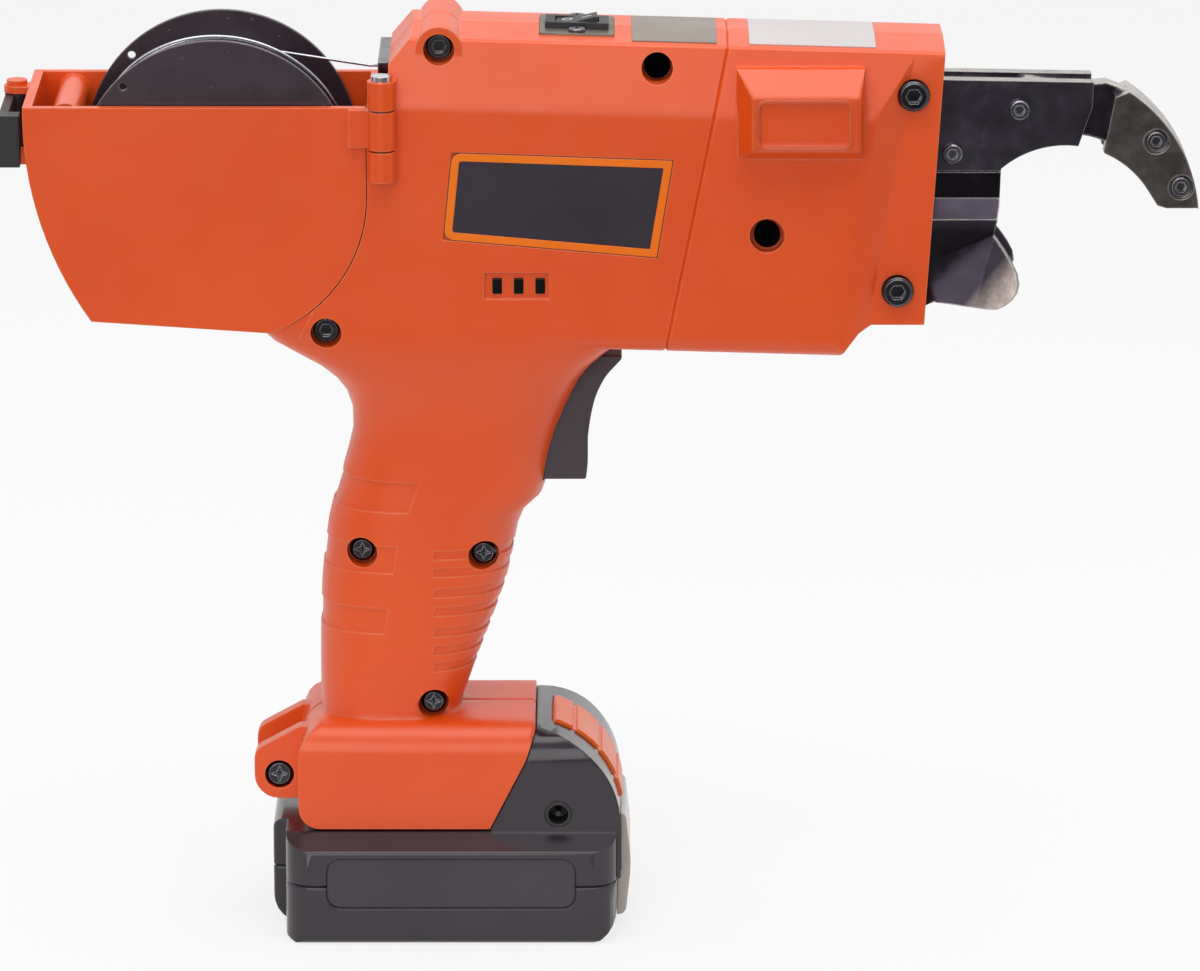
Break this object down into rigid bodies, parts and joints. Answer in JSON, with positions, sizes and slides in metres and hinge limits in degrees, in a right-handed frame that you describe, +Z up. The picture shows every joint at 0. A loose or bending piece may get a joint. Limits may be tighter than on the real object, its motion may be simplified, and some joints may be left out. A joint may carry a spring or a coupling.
{
  "type": "rebar tying tool",
  "caption": "Pistol-grip battery rebar tying tool: rear wire reel under a hinged door, curved upper jaw over a lower guide, twister between them, sliding battery foot.",
  "frame": {"origin": "middle of the battery pack's flat base, on the tool's centre plane", "axes": "+X forward to the jaws, +Y to the tool's left, +Z up; -Y is the side with the reel door"},
  "size_m": [0.3318, 0.07, 0.2598],
  "materials": {
    "orange_plastic": "moulded, fine satin grain",
    "pack_plastic": "moulded, semi-gloss dark warm grey",
    "black_plastic": "moulded, matt black",
    "grey_plastic": "moulded, dark grey",
    "reel_plastic": "moulded, matt black",
    "tie_wire": "bare drawn steel wire",
    "jaw_steel": "dark oxide finish with bright edges",
    "bright_steel": "machined",
    "screw_steel": "black oxide",
    "plate_metal": "satin sheet",
    "frame_metal": "die cast",
    "motor_metal": "plated can",
    "bronze": "sintered",
    "board_green": "circuit board",
    "label_black": "printed sheet, left bare",
    "label_silver": "printed sheet, left bare",
    "cell_wrap": "shrink sleeve over a steel can",
    "contact_brass": "plated contact"
  },
  "bodies": {
    "housing": {"right_housing": "orange_plastic", "left_housing": "orange_plastic", "right_nose_cover": "orange_plastic", "left_nose_cover": "orange_plastic", "door_hinge_pin": "bright_steel", "latch_pin": "orange_plastic", "wire_inlet_guide": "jaw_steel", "wire_lead": "tie_wire", "jaw_right_plate": "jaw_steel", "jaw_left_plate": "jaw_steel", "jaw_core": "bright_steel", "tip_right_plate": "jaw_steel", "tip_left_plate": "jaw_steel", "jaw_screws": "screw_steel", "guide_right_cheek": "jaw_steel", "guide_left_cheek": "jaw_steel", "guide_screws": "screw_steel", "head_frame": "frame_metal", "twist_bush": "bronze", "twist_motor": "motor_metal", "gearbox": "frame_metal", "feed_motor": "motor_metal", "feed_gearbox": "black_plastic", "idler_bracket": "black_plastic", "wire_tube": "bright_steel", "cutter_blade": "bright_steel", "trigger_switch": "black_plastic", "switch_body": "black_plastic", "switch_plate": "plate_metal", "plate_screws": "bright_steel", "control_board": "board_green", "indicator_lights": "label_black", "spec_plate": "label_black", "top_labels": "label_silver", "housing_screws": "screw_steel", "nose_screws": "screw_steel", "lanyard_screw": "screw_steel", "terminal_block": "black_plastic"},
    "reel_door": {"reel_door": "orange_plastic"},
    "door_latch": {"door_latch": "black_plastic"},
    "reel": {"wire_reel": "reel_plastic", "wire_core": "tie_wire", "wire_winding": "tie_wire"},
    "trigger": {"trigger": "grey_plastic"},
    "rocker": {"rocker": "black_plastic"},
    "twist_carriage": {"thrust_sleeve": "bright_steel"},
    "twist_head": {"twist_shaft": "bright_steel", "twist_hooks": "jaw_steel"},
    "drive_gear": {"feed_drive_gear": "bright_steel"},
    "idler_gear": {"feed_idler_gear": "bright_steel"},
    "battery": {"battery_tub": "pack_plastic", "battery_upper_shell": "pack_plastic", "battery_cells": "cell_wrap", "battery_contacts": "contact_brass", "charge_socket": "black_plastic", "pack_front_guard": "pack_plastic", "release_spring": "bright_steel", "battery_screws": "screw_steel"},
    "release_button": {"release_button": "orange_plastic"}
  },
  "joints": [
    {"name": "trigger_slide", "type": "slide", "parent": "housing", "child": "trigger", "axis": [-1, 0, 0], "range_m": [0, 0.006], "stiffness_N_per_m": 600},
    {"name": "power_rocker", "type": "hinge", "parent": "housing", "child": "rocker", "pos_m": [0.03533, 0, 0.25711], "axis": [0, 1, 0], "range_deg": [0, 20]},
    {"name": "reel_door_swing", "type": "hinge", "parent": "housing", "child": "reel_door", "pos_m": [-0.0181, -0.028, 0.23], "axis": [0, 0, 1], "range_deg": [0, 110]},
    {"name": "door_latch_turn", "type": "hinge", "parent": "housing", "child": "door_latch", "pos_m": [-0.1205, 0.009, 0.228], "axis": [0, 0, -1], "range_deg": [0, 95]},
    {"name": "reel_spin", "type": "hinge", "parent": "housing", "child": "reel", "pos_m": [-0.064, 0, 0.2181], "axis": [0, 1, 0], "continuous": true},
    {"name": "twister_feed", "type": "slide", "parent": "housing", "child": "twist_carriage", "axis": [1, 0, 0], "range_m": [0, 0.012]},
    {"name": "twister_spin", "type": "hinge", "parent": "twist_carriage", "child": "twist_head", "pos_m": [0.1, 0, 0.1967], "axis": [1, 0, 0], "continuous": true},
    {"name": "feed_gear_spin", "type": "hinge", "parent": "housing", "child": "drive_gear", "pos_m": [0.097, 0.01262, 0.234], "axis": [0, 0, 1], "continuous": true},
    {"name": "idler_gear_spin", "type": "hinge", "parent": "housing", "child": "idler_gear", "pos_m": [0.097, -0.01262, 0.234], "axis": [0, 0, 1], "continuous": true},
    {"name": "battery_slide", "type": "slide", "parent": "housing", "child": "battery", "axis": [1, 0, 0], "range_m": [0, 0.055]},
    {"name": "release_button_press", "type": "slide", "parent": "battery", "child": "release_button", "axis": [-0.766, 0, -0.6428], "range_m": [0, 0.0025], "stiffness_N_per_m": 800, "deforming": ["release_spring"]}
  ],
  "couplings": [
    {"joint": "idler_gear_spin", "follows": "feed_gear_spin", "ratio": -1}
  ]
}
